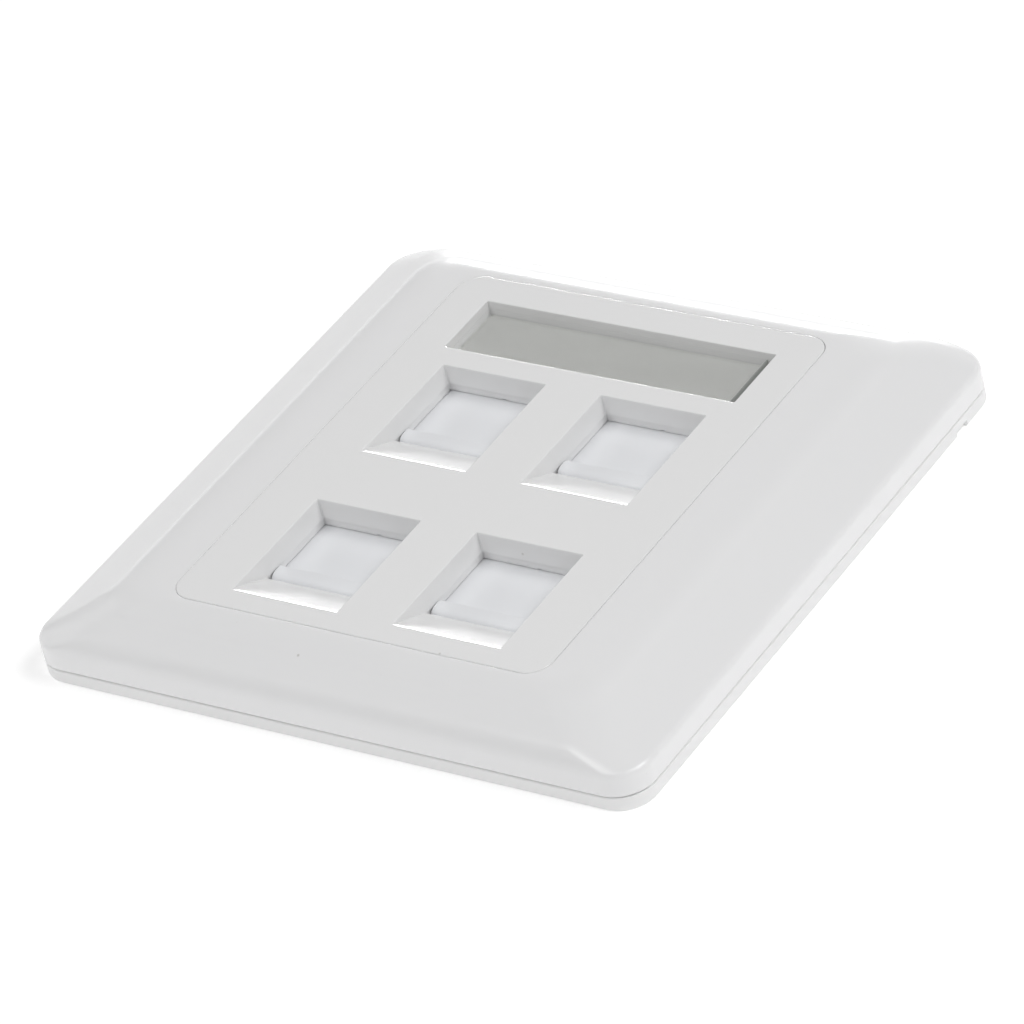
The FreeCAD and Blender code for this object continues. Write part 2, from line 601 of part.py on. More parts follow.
def make_bay(u, v):
    """Rear bay: a frame that takes a jack from behind, shutter guides and the spring's channel."""
    low = v + BAY_FOOT
    stop_end = v + END_STOP_V + END_STOP_T
    open_low, open_high = v + BAY_OPEN_LOW, v + BAY_OPEN_HIGH
    frame_half = BAY_OPEN_HALF + BAY_WALL
    ledge_z = BAY_TOP - BAY_STEP
    body = box(
        u - frame_half, u + frame_half, open_low - BAY_WALL, open_high + BAY_WALL, 0.0, BAY_TOP)
    added = spring_channel(u, v) + [
        box(u - GUIDE_OUT, u + GUIDE_OUT, low, stop_end, ledge_z, BAY_TOP),
        box(u - GUIDE_OUT, u + GUIDE_OUT, v + END_STOP_V, stop_end, ledge_z, WELL_FOOT),
    ]
    for side in (-1, 1):
        x0, x1 = sorted((u + side * GUIDE_IN, u + side * GUIDE_OUT))
        added.append(box(x0, x1, low, v + SHUTTER_HIGH + GUIDE_OVER, ledge_z, PANEL_BACK))
        added.append(box(x0, x1, low, stop_end, ledge_z, WELL_FOOT))
    lug_top = PANEL_BACK - RUN_GAP
    for x, y in lug_centres(u, v):
        added.append(box(x - LUG / 2, x + LUG / 2, y - LUG / 2, y + LUG / 2, ledge_z, lug_top))
    bay = fuse_all(body, added)
    ear_slot = box(
        u + GUIDE_IN - RUN_GAP, u + GUIDE_OUT + RUN_GAP, v + SHUTTER_LOW - RUN_GAP,
        v + SHUTTER_LOW + TRAVEL + EAR_L + RUN_GAP, BAY_TOP, SHUTTER_FACE + RUN_GAP)
    cuts = [
        box(u - BAY_OPEN_HALF, u + BAY_OPEN_HALF, open_low, open_high, -CLEAR, BAY_TOP + CLEAR),
        box(u - CATCH_W / 2, u + CATCH_W / 2, open_high - LAP, open_high + CATCH_DEPTH,
            CATCH_Z, CATCH_Z + CATCH_H),
        ear_slot,
    ]
    for x, y in lug_centres(u, v):
        cuts.append(Part.makeCylinder(PEG_R + PEG_GAP, PANEL_BACK, Vector(x, y, ledge_z - CLEAR)))
    ledge = side_profile([
        (open_low - LAP, CATCH_Z), (open_low + CATCH_DEPTH, CATCH_Z),
        (open_low + CATCH_DEPTH, CATCH_Z + CATCH_H / 2), (open_low - LAP, CATCH_Z + CATCH_H)],
        u - BAY_OPEN_HALF, u + BAY_OPEN_HALF)
    return fuse_all(bay.cut(cuts), [ledge])


def save(name, shape):
    """Write one named piece as a STEP file."""
    solid = shape.Solids[0] if len(shape.Solids) == 1 else shape
    solid.exportStep(os.path.join("parts", name + ".step"))
    print(name, "solids", len(shape.Solids), "valid", shape.isValid(), "volume", round(shape.Volume, 2))


def main():
    """Build every piece and write it."""
    os.makedirs("parts", exist_ok=True)
    strip_back = CARD_BACK + CARD_T
    save("base_plate", make_base_plate())
    save("cover_frame", make_cover_frame())
    save("port_panel", make_port_panel())
    save("label_window", label_block(LABEL_GAP, STRIP_SHORT, strip_back, HEIGHT - WINDOW_DEPTH))
    save("label_card", label_block(CARD_INSET, CARD_INSET, CARD_BACK, strip_back))
    for place, (u, v) in PORTS.items():
        save("shutter_" + place, make_shutter(u, v))
        save("bay_" + place, make_bay(u, v))
        save("spring_" + place, make_spring(u, v))


main()
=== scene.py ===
import json
import math

import bmesh
import bpy
import numpy as np
from mathutils import Matrix, Vector


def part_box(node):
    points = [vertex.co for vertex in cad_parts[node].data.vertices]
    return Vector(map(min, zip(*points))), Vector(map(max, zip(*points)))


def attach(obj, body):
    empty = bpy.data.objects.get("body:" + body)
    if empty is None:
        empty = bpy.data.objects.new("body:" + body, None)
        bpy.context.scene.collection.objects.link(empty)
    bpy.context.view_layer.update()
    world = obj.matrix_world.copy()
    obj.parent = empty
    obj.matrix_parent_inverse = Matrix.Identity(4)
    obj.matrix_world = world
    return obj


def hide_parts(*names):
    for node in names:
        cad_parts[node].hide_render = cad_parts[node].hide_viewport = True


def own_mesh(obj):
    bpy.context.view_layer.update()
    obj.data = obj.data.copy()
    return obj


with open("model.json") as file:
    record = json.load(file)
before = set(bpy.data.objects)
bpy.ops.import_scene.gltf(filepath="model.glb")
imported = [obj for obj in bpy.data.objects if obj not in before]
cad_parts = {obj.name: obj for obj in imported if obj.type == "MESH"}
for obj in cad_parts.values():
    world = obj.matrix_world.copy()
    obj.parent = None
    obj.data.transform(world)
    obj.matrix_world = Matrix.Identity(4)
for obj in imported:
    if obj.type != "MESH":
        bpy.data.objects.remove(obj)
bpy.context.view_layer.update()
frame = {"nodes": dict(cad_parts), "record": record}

bl_info = {
    "name": "Keystone faceplate",
    "version": (1, 0, 0),
    "blender": (4, 5, 0),
    "location": "View3D > Sidebar > Faceplate",
    "description": "Dresses a square wall faceplate with four shuttered jack ports",
    "category": "Object",
}

MM = 0.001
QUARTER = math.pi / 2
PLACES = ("lower_left", "lower_right", "upper_left", "upper_right")

# Where the points of a side lie between two corners, some close to them so that the light stays even
SIDE_POINTS = (0.01, 0.2, 0.4, 0.6, 0.8, 0.99)
WELL_SIDE_POINTS = (0.01, 0.2, 0.42, 0.43, 0.47, 0.48, 0.7, 0.99)
NICK_POINTS = slice(2, 6)

# Steps over a quarter turn: fine edges, panel's edge, finger bar, and the corners of panel and cover
EDGE_STEPS = 4
PANEL_EDGE_STEPS = 5
BAR_STEPS = 8
PANEL_TURN = 16
COVER_TURN = 18

# Sides of the springs' wire
WIRE_SIDES = 12

# Smallest corner, the step between two points that all but meet, a ring that holds an edge, and a sunk joint
TINY_CORNER = 0.02 * MM
STEP = 0.02 * MM
SUPPORT = 0.1 * MM
SINK = 0.2 * MM

# Dust: cells a metre, a speck's fading edge in a cell, the shade under which a cell has one, and its tone
DUST_CELLS = 400.0
DUST_EDGE = (0.03, 0.10)
DUST_SHADE = (0.06, 0.08)
DUST_TONE = (0.62, 0.61, 0.59)

# Width and height of the soft boxes, and where they stand, in metres
UPRIGHT_BOX = (1.08, 0.9)
HIGH_BOX = (0.75, 0.6)
STRIP_BOX = (0.5, 0.1)
FAR_PLACE = (0.0, 1.3, 0.45)
LEFT_PLACE = (-1.3, 0.0, 0.45)
LOW_PLACE = (-0.59, 1.16, 0.14)
RIGHT_PLACE = (0.81, 0.22, 1.0)
NEAR_PLACE = (-0.2, -0.62, 1.12)

# Camera: its place, its right and back directions, and what it sees
CAMERA_PLACE = (0.4083, -0.4876, 0.4428)
CAMERA_RIGHT = (0.8314, 0.5200, -0.1960)
CAMERA_BACK = (0.5284, -0.6304, 0.5687)
SENSOR = 36.0
NEAREST, FARTHEST = 0.01, 20.0
FLOOR_REACH = 1.5


def corners_of(node):
    """Lowest and highest corner of a CAD node, in metres."""
    low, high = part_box(node)
    return Vector(low), Vector(high)


COVER_HIGH = corners_of("cover_frame")[1]
PANEL_HIGH = corners_of("port_panel")[1]
BASE_HIGH = corners_of("base_plate")[1]
STRIP_LOW, STRIP_HIGH = corners_of("label_window")
CARD_LOW, CARD_HIGH = corners_of("label_card")
FRONT = COVER_HIGH.z


def length(name, description, millimetres):
    """A size, given in millimetres and kept in metres."""
    return bpy.props.FloatProperty(
        name=name, description=description, default=millimetres * MM, precision=5, subtype="DISTANCE",
        unit="LENGTH")


def slope(name, description, degrees):
    """An angle, given in degrees and kept in radians."""
    return bpy.props.FloatProperty(
        name=name, description=description, default=math.radians(degrees), subtype="ANGLE", unit="ROTATION")


def tone(name, description, default):
    """A linear colour."""
    return bpy.props.FloatVectorProperty(
        name=name, description=description, default=default, size=3, min=0.0, max=1.0, subtype="COLOR")


def power(name, description, watts):
    """The power of a lamp."""
    return bpy.props.FloatProperty(
        name=name, description=description, default=watts, min=0.0, subtype="POWER", unit="POWER")


class CoverSizes(bpy.types.PropertyGroup):
    """Sizes of the glossy cover"""

    corner: length("Corner", "Plan radius of the corners", 4.6)
    rim: length("Rim", "Thickness of the base's rim below the cover", 2.0)
    seam: length("Seam", "Parting line over the base's rim", 0.15)
    foot_round: length("Foot round", "Rounded lower edge of the wall", 0.12)
    wall_top: length("Wall top", "Height where the upright wall ends", 4.45)
    side_round: length("Side round", "Radius over the left and right edges", 1.0)
    end_round: length("End round", "Radius over the top and bottom edges", 3.4)
    band_slope: slope("Band slope", "Slope of the band outside the crease", 24.0)
    crease_drop: length("Crease drop", "Crease below the flat front", 1.3)
    shoulder_slope: slope("Shoulder slope", "Slope of the shoulder at the crease", 32.0)
    side_flat: length("Side flat", "Flat strip beside the window", 2.1)
    end_flat: length("End flat", "Flat strip above and below the window", 0.3)
    window_round: length("Window round", "Rounded edge round the window", 0.06)
    wall: length("Wall", "Thickness of the shell", 1.5)
    skirt: length("Skirt", "Wall under the window's edge", 1.2)
    hook_x: length("Hook place", "Hooks' centres from the middle", 22.0)
    hook_w: length("Hook width", "Width of a hook", 6.0)
    hook_t: length("Hook thickness", "Thickness of a hook", 1.1)
    hook_foot: length("Hook foot", "Height of a hook's foot", 0.3)
    hook_barb: length("Hook barb", "Reach of a hook's barb", 1.4)
    hook_barb_top: length("Hook barb top", "Height of the barb's upper face", 0.9)
    hook_barb_h: length("Hook barb height", "Height of the barb's upright end", 0.325)
    hook_top: length("Hook top", "Height where a hook leaves the wall", 4.0)


class PanelSizes(bpy.types.PropertyGroup):
    """Sizes of the flat insert"""

    corner: length("Corner", "Plan radius of the corners", 3.0)
    groove: length("Groove", "Gap to the cover on the right and at the bottom", 0.15)
    settle: length("Settle", "The gap on the left and at the top is narrower by this", 0.14)
    edge: length("Edge", "Rounded edge round the front", 0.16)
    plate: length("Plate", "Thickness of the plate", 2.0)
    skirt: length("Skirt", "Wall under the panel's edge", 1.2)
    skirt_drop: length("Skirt drop", "Front down to the foot of the skirt", 3.1)
    port_w: length("Port width", "Port opening at the front", 15.05)
    port_h: length("Port height", "Port opening at the front", 18.6)
    bay_above: length("Bay above", "Jack bay's centre above the port's centre", 3.07)
    rim: length("Rim", "Rounded edge round the ports and the label", 0.13)
    well_corner: length("Well corner", "Upright corners inside a port", 0.12)
    draft: length("Draft", "Side walls close in by this much", 0.3)
    top_draft: length("Top draft", "Upper wall closes in by this much", 0.1)
    draft_depth: length("Draft depth", "Depth where the walls step outwards", 2.75)
    relief: length("Relief", "Step outwards at the foot of the walls", 0.2)
    well_depth: length("Well depth", "Front down to the foot of the walls", 3.86)
    well_wall: length("Well wall", "Wall round a port", 1.0)
    ramp_run: length("Ramp run", "Length of the finger ramp", 6.02)
    ramp_depth: length("Ramp depth", "Depth of the finger ramp's foot", 2.7)
    ramp_crown: length("Ramp crown", "Bulge of the ramp over a straight line", 0.08)
    ramp_heel: length("Ramp heel", "Solid length under the ramp's foot", 3.2)
    nick_near: length("Nick place", "Moulded nick's near side from the port's centre line", 0.3)
    nick_w: length("Nick width", "Width of the nick at the upper wall's foot", 0.5)
    nick_h: length("Nick height", "Height and depth of the nick", 0.15)
    label_w: length("Label width", "Width of the label recess", 41.95)
    label_h: length("Label height", "Height of the label recess", 10.12)
    label_wall: length("Label wall", "Wall round the label recess", 1.0)
    label_floor: length("Label floor", "Floor under the card", 0.8)
    strip_edge: length("Strip edge", "Rounded edges of the clear strip", 0.05)
    sawn_end: length("Sawn end", "Length of the strip's sawn end", 0.14)
    arm_w: length("Arm width", "Width of a clip arm", 5.0)
    arm_t: length("Arm thickness", "Thickness of a clip arm", 1.2)
    arm_in: length("Arm place", "Arm's outer face inside the panel's edge", 1.6)
    arm_foot: length("Arm foot", "Height of a clip arm's foot", 3.0)
    arm_barb: length("Arm barb", "Reach of a clip arm's barb", 0.8)
    arm_barb_h: length("Arm barb height", "Height of a clip arm's barb", 1.2)
    arm_low: length("Lower arms", "Place of the lower arms, upwards from the middle", -4.13)
    arm_drop: length("Upper arms", "Upper arms below the panel's upper edge", 10.2)
    peg_r: length("Peg", "Radius of the pegs that hold the bays", 0.6)
    peg_out: length("Peg place", "Pegs beside the port's centre", 9.805)
    peg_low: length("Peg drop", "Pegs below the port's centre", 6.2)
    peg_foot: length("Peg foot", "Height of a peg's foot", 5.0)


class ShutterSizes(bpy.types.PropertyGroup):
    """Sizes of the dust shutters"""

    half: length("Half width", "Half the shutter's width", 8.455)
    thick: length("Thickness", "Thickness of the plate", 1.2)
    corner: length("Corner", "Plan radius of the plate's corners", 0.4)
    edge: length("Edge", "Rounded edges", 0.15)
    bar_start: length("Bar place", "Finger bar from the shutter's lower edge", 1.75)
    bar_l: length("Bar", "Finger bar along the slide", 2.5)
    bar_h: length("Bar height", "Finger bar over the plate", 1.4)
    bar_front: length("Bar front", "Radius over the finger bar's near edge", 1.3)
    bar_back: length("Bar back", "Radius over the finger bar's far edge", 0.35)
    bar_end: length("Bar end", "Rounded ends of the finger bar", 0.3)
    bar_inset: length("Bar inset", "Finger bar inside the port's width, each side", 0.36)
    ear_l: length("Lug", "Lug that pushes the spring, along the slide", 1.8)
    ear_w: length("Lug width", "Width of the lug", 2.4)
    pin_r: length("Pin", "Radius of the spring's pin", 0.55)
    pin_l: length("Pin length", "Length of the spring's pin", 1.2)


class SpringSizes(bpy.types.PropertyGroup):
    """Sizes of the springs"""

    wire: length("Wire", "Diameter of the wire", 0.36)
    turns: bpy.props.IntProperty(name="Turns", description="Turns of each spring", default=5, min=1)
    steps: bpy.props.IntProperty(name="Steps", description="Wire sections in a turn", default=36, min=8)


class StageSizes(bpy.types.PropertyGroup):
    """Light and camera"""

    sky: bpy.props.FloatProperty(name="Sky", description="Strength of the even light", default=0.24, min=0.0)
    table: bpy.props.FloatProperty(
        name="Light table", description="Glow of the floor", default=0.31, min=0.0)
    far_box: power("Far box", "Upright soft box beyond the plate's upper edge", 0.9)
    left_box: power("Left box", "Upright soft box on the plate's left", 2.6)
    low_box: power("Low box", "Low strip light beyond the upper left corner", 4.6)
    right_box: power("Right box", "High soft box on the plate's right", 7.3)
    near_box: power("Near box", "High soft box on the viewer's side", 4.5)
    lens: bpy.props.FloatProperty(
        name="Lens", description="Focal length in millimetres", default=226.58, min=1.0)


class Colours(bpy.types.PropertyGroup):
    """Colours of the finishes"""

    cover: tone("Cover", "Glossy white of the cover", (0.88, 0.88, 0.885))
    panel: tone("Panel", "White of the flat insert", (0.88, 0.88, 0.88))
    base: tone("Base", "White of the wall base and the bays", (0.88, 0.88, 0.88))
    shutter: tone("Shutter", "Milky white of the shutters", (0.86, 0.87, 0.89))
    card: tone("Card", "Grey of the label card", (0.90, 0.91, 0.88))
    strip: tone("Clear strip", "Tint of the clear strip", (0.93, 0.95, 0.92))
    steel: tone("Steel", "Spring wire", (0.60, 0.60, 0.61))
    floor: tone("Floor", "Pale studio floor", (0.90, 0.90, 0.90))


# Finishes

def new_finish(name):
    """Node material, with its tree and its shader."""
    material = bpy.data.materials.new(name)
    material.use_nodes = True
    return material, material.node_tree, material.node_tree.nodes["Principled BSDF"]


def object_point(tree):
    """The point on the object that is shaded, in metres."""
    return tree.nodes.new("ShaderNodeTexCoord").outputs["Object"]


def noise(tree, scale, detail, roughness=0.5):
    """Noise over the object, its scale in waves a metre."""
    node = tree.nodes.new("ShaderNodeTexNoise")
    node.inputs["Scale"].default_value = scale
    node.inputs["Detail"].default_value = detail
    node.inputs["Roughness"].default_value = roughness
    tree.links.new(object_point(tree), node.inputs["Vector"])
    return node.outputs["Fac"]


def stretch(tree, value, out_low, out_high, low=0.3, high=0.7):
    """Value stretched from one range to another."""
    node = tree.nodes.new("ShaderNodeMapRange")
    for name, number in (("From Min", low), ("From Max", high), ("To Min", out_low), ("To Max", out_high)):
        node.inputs[name].default_value = number
    tree.links.new(value, node.inputs["Value"])
    return node.outputs["Result"]


def between(tree, factor, first, second):
    """Colour that goes from the first to the second with the factor. The first may be a node's output."""
    node = tree.nodes.new("ShaderNodeMix")
    node.data_type = "RGBA"
    if isinstance(first, bpy.types.NodeSocket):
        tree.links.new(first, node.inputs["A"])
    else:
        node.inputs["A"].default_value = (*first, 1)
    node.inputs["B"].default_value = (*second, 1)
    tree.links.new(factor, node.inputs["Factor"])
    return node.outputs["Result"]


def shaded(colour, share):
    """Colour made lighter or darker by a share."""
    return [min(c * share, 1.0) for c in colour]


def relief(tree, shader, height, depth):
    """Fine surface relief, its depth in metres."""
    bump = tree.nodes.new("ShaderNodeBump")
    bump.inputs["Distance"].default_value = depth
    bump.inputs["Strength"].default_value = 0.5
    tree.links.new(height, bump.inputs["Height"])
    tree.links.new(bump.outputs["Normal"], shader.inputs["Normal"])


def specks(tree, clean):
    """Sparse specks of dust, each round the centre of a cell, in the few cells whose own shade is low."""
    cells = tree.nodes.new("ShaderNodeTexVoronoi")
    cells.inputs["Scale"].default_value = DUST_CELLS
    tree.links.new(object_point(tree), cells.inputs["Vector"])
    close = stretch(tree, cells.outputs["Distance"], 1.0, 0.0, *DUST_EDGE)
    shade = tree.nodes.new("ShaderNodeSeparateColor")
    tree.links.new(cells.outputs["Color"], shade.inputs["Color"])
    rare = stretch(tree, shade.outputs["Red"], 1.0, 0.0, *DUST_SHADE)
    both = tree.nodes.new("ShaderNodeMath")
    both.operation = "MULTIPLY"
    tree.links.new(close, both.inputs[0])
    tree.links.new(rare, both.inputs[1])
    return between(tree, both.outputs["Value"], clean, DUST_TONE)


def let_light_through(shader, weight, reach):
    """Lets light into the plastic, reach metres deep."""
    shader.inputs["Subsurface Weight"].default_value = weight
    shader.inputs["Subsurface Radius"].default_value = (1.0, 1.0, 1.0)
    shader.inputs["Subsurface Scale"].default_value = reach


def moulded_white(name, colour, rough, grain, depth, dusty):
    """Moulded white plastic: slow drift of tone, roughness that wanders, mould grain with its waves a metre
    and its depth, and sparse dust."""
    material, tree, shader = new_finish(name)
    drift = noise(tree, scale=40.0, detail=2.0)
    clean = between(tree, drift, shaded(colour, 0.994), shaded(colour, 1.006))
    tree.links.new(specks(tree, clean) if dusty else clean, shader.inputs["Base Color"])
    smears = noise(tree, scale=240.0, detail=4.0)
    tree.links.new(stretch(tree, smears, rough * 0.9, rough * 1.1), shader.inputs["Roughness"])
    relief(tree, shader, noise(tree, grain, detail=2.0), depth)
    shader.inputs["IOR"].default_value = 1.5
    let_light_through(shader, weight=0.35, reach=0.5 * MM)
    return material


def milky_white(name, colour):
    """White plastic with a weaker, shallower subsurface than the moulded white."""
    material = moulded_white(name, colour, rough=0.35, grain=1800.0, depth=0.005 * MM, dusty=False)
    let_light_through(material.node_tree.nodes["Principled BSDF"], weight=0.12, reach=0.4 * MM)
    return material


def clear_strip(name, colour):
    """Clear polished strip: mostly see-through, with a high index so that its gloss stays strong."""
    material, tree, shader = new_finish(name)
    shader.inputs["Base Color"].default_value = (*colour, 1)
    shader.inputs["Alpha"].default_value = 0.03
    shader.inputs["IOR"].default_value = 2.2
    smears = noise(tree, scale=300.0, detail=2.0)
    tree.links.new(stretch(tree, smears, 0.03, 0.07), shader.inputs["Roughness"])
    return material


def sawn_plastic(name, colour):
    """End of the clear strip, painted dark as shade where light leaves it sideways, with fine saw marks."""
    material, tree, shader = new_finish(name)
    marks = noise(tree, scale=4200.0, detail=3.0)
    # Painted shade: the end's colour is darkened to a third of the strip's tint, varied by the saw marks
    dark = between(tree, marks, shaded(colour, 0.28), shaded(colour, 0.4))
    tree.links.new(dark, shader.inputs["Base Color"])
    relief(tree, shader, marks, depth=0.01 * MM)
    shader.inputs["Roughness"].default_value = 0.3
    return material


def paper_card(name, colour):
    """Plain card with a faint grain."""
    material, tree, shader = new_finish(name)
    fibre = noise(tree, scale=3200.0, detail=4.0, roughness=0.6)
    grain = between(tree, fibre, shaded(colour, 0.98), shaded(colour, 1.02))
    tree.links.new(grain, shader.inputs["Base Color"])
    relief(tree, shader, fibre, depth=0.01 * MM)
    shader.inputs["Roughness"].default_value = 0.7
    return material


def drawn_wire(name, colour):
    """Bright drawn wire."""
    material, tree, shader = new_finish(name)
    streak = noise(tree, scale=5200.0, detail=3.0)
    drawn = between(tree, streak, shaded(colour, 0.9), shaded(colour, 1.1))
    tree.links.new(drawn, shader.inputs["Base Color"])
    tree.links.new(stretch(tree, streak, 0.22, 0.38), shader.inputs["Roughness"])
    shader.inputs["Metallic"].default_value = 1.0
    return material


def light_table(name, colour, glow):
    """Plain pale floor that glows a little, so that shadows on it stay faint, and is clear from below."""
    material, tree, shader = new_finish(name)
    drift = noise(tree, scale=3.0, detail=2.0)
    pale = between(tree, drift, shaded(colour, 0.997), shaded(colour, 1.003))
    tree.links.new(pale, shader.inputs["Base Color"])
    shader.inputs["Roughness"].default_value = 0.85
    shader.inputs["Emission Color"].default_value = (1, 1, 1, 1)
    shader.inputs["Emission Strength"].default_value = glow
    side = tree.nodes.new("ShaderNodeNewGeometry")
    seen = stretch(tree, side.outputs["Backfacing"], 1.0, 0.0, low=0.0, high=1.0)
    tree.links.new(seen, shader.inputs["Alpha"])
    return material


# Surfaces

def quarter(steps):
    """Angles over a quarter turn."""
    return np.linspace(0, QUARTER, steps + 1)


def plan_rings(half_x, half_y, radius, z, centre_x=0.0, centre_y=0.0, side_points=SIDE_POINTS, turn=8):
    """Rounded rectangles one over another, a row of points for each level. A corner is a quarter circle
    about a centre that lies the radius in from both sides, and a side is a line between two corners."""
    levels = [np.asarray(v, float).reshape(-1, 1) for v in (half_x, half_y, radius, z, centre_x, centre_y)]
    hx, hy, r, zz, cx, cy = np.broadcast_arrays(*levels)
    t = np.asarray(side_points).reshape(1, -1)
    corners = []
    for sx, sy, start in ((1, -1, -1), (1, 1, 0), (-1, 1, 1), (-1, -1, 2)):
        angle = start * QUARTER + quarter(turn).reshape(1, -1)
        corners.append((sx * (hx - r) + r * np.cos(angle), sy * (hy - r) + r * np.sin(angle)))
    xs, ys = [], []
    for i, (x, y) in enumerate(corners):
        next_x, next_y = corners[(i + 1) % 4]
        xs += [x, x[:, -1:] * (1 - t) + next_x[:, :1] * t]
        ys += [y, y[:, -1:] * (1 - t) + next_y[:, :1] * t]
    x = np.concatenate(xs, 1) + cx
    y = np.concatenate(ys, 1) + cy
    return np.stack([x, y, np.broadcast_to(zz, x.shape)], -1)


def tube(rings, closed=False, caps=""):
    """Surface through a stack of rings: its points, the quads between each ring and the next, and the end
    faces. Closed joins the last ring to the first, and caps names the ends that get a face."""
    rows, columns = rings.shape[:2]
    r, c = np.meshgrid(np.arange(rows if closed else rows - 1), np.arange(columns), indexing="ij")
    above, beside = (r + 1) % rows, (c + 1) % columns
    quads = np.stack(
        [r * columns + c, r * columns + beside, above * columns + beside, above * columns + c], -1)
    quads = quads.reshape(-1, 4)
    ends = []
    if "first" in caps:
        ends.append(np.arange(columns))
    if "last" in caps:
        ends.append(np.arange(rows * columns)[:-columns - 1:-1])
    return rings.reshape(-1, 3), quads, ends


def rounded_block(low, high, corner, lower_edge, upper_edge):
    """Closed block with rounded corners. Its lower and upper edges are quarter circles."""
    a = quarter(EDGE_STEPS)
    z = np.concatenate([low[2] + lower_edge * (1 - np.cos(a)), high[2] - upper_edge * (1 - np.sin(a))])
    inset = np.concatenate([lower_edge * (1 - np.sin(a)), upper_edge * (1 - np.cos(a))])
    half_x, half_y = (high[0] - low[0]) / 2 - inset, (high[1] - low[1]) / 2 - inset
    middle_x, middle_y = (high[0] + low[0]) / 2, (high[1] + low[1]) / 2
    radius = np.maximum(corner - inset, TINY_CORNER)
    rings = plan_rings(half_x, half_y, radius, z, middle_x, middle_y, turn=EDGE_STEPS)
    return tube(rings, caps="first last")


def prism(outline, axis, start, end):
    """Closed prism along an axis, of an outline in the plane across it."""
    outline = np.asarray(outline, float)
    rings = np.zeros((2, len(outline), 3))
    rings[:, :, [i for i in range(3) if i != axis]] = outline
    rings[:, :, axis] = [[start], [end]]
    return tube(rings, caps="first last")


def rod(centre, radius, axis, start, end, sides=20):
    """Closed round rod along an axis, bevelled at both ends by a quarter of its radius."""
    a = np.linspace(0, 2 * math.pi, sides, endpoint=False)
    bevel = radius / 4
    size = np.array([[radius - bevel], [radius], [radius], [radius - bevel]])
    first, second = [i for i in range(3) if i != axis]
    rings = np.zeros((4, sides, 3))
    rings[:, :, first] = centre[0] + size * np.cos(a)
    rings[:, :, second] = centre[1] + size * np.sin(a)
    rings[:, :, axis] = [[start], [start + bevel], [end - bevel], [end]]
    return tube(rings, caps="first last")


def build(name, parts, fills=(), crisp=30.0):
    """One object from several surfaces. Open rings at a fill height are closed by a flat face with holes.
    Quads are smooth up to the crisp angle, and flat faces keep their edges sharp."""
    points, faces, count = [], [], 0
    for part_points, quads, ends in parts:
        points.append(part_points)
        faces += (quads + count).tolist() + [(end + count).tolist() for end in ends]
        count += len(part_points)
    mesh = bpy.data.meshes.new(name)
    mesh.from_pydata(np.concatenate(points).tolist(), [], faces)
    work = bmesh.new()
    work.from_mesh(mesh)
    for height in fills:
        open_edges = [
            e for e in work.edges
            if len(e.link_faces) == 1 and all(abs(v.co.z - height) < TINY_CORNER for v in e.verts)]
        bmesh.ops.triangle_fill(work, edges=open_edges, use_beauty=True, normal=(0, 0, 1))
    bmesh.ops.recalc_face_normals(work, faces=work.faces)
    for edge in work.edges:
        curved = all(len(face.verts) == 4 for face in edge.link_faces)
        edge.smooth = curved and edge.calc_face_angle(0.0) < math.radians(crisp)
    work.to_mesh(mesh)
    work.free()
    mesh.polygons.foreach_set("use_smooth", np.ones(len(mesh.polygons), bool))
    piece = bpy.data.objects.new(name, mesh)
    bpy.context.scene.collection.objects.link(piece)
    return piece


def dress(piece, finish, body, node):
    """Gives a new piece its finish in a slot and its body, and hides the CAD node that it stands for."""
    piece.data.materials.append(bpy.data.materials[finish])
    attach(piece, body)
    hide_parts(node)
    return piece


def finish_node(node, finish):
    """Gives a CAD node that keeps its shape a better finish."""
    for slot in frame["nodes"][node].material_slots:
        slot.material = bpy.data.materials[finish]


def port_centre(s, place):
    """Centre of a port at the panel's front, worked out from its jack bay's mount."""
    mount = next(m for m in frame["record"]["mounts"] if m["name"] == "jack_bay_" + place)
    return mount["pos_m"][0], mount["pos_m"][1] - s.bay_above


# Cover

def half_at(s, z, edge_round):
    """Half width at height z: the upright wall, then a circle of the edge's radius, then a line that climbs
    inwards at the band's slope."""
    start = s.wall_top + edge_round * math.cos(s.band_slope)
    over_wall = np.clip(z - s.wall_top, 0, edge_round)
    on_edge = COVER_HIGH.x - edge_round + np.sqrt(edge_round ** 2 - over_wall ** 2)
    on_band = COVER_HIGH.x - edge_round * (1 - math.sin(s.band_slope)) - (z - start) / math.tan(s.band_slope)
    return np.where(z <= start, on_edge, on_band)


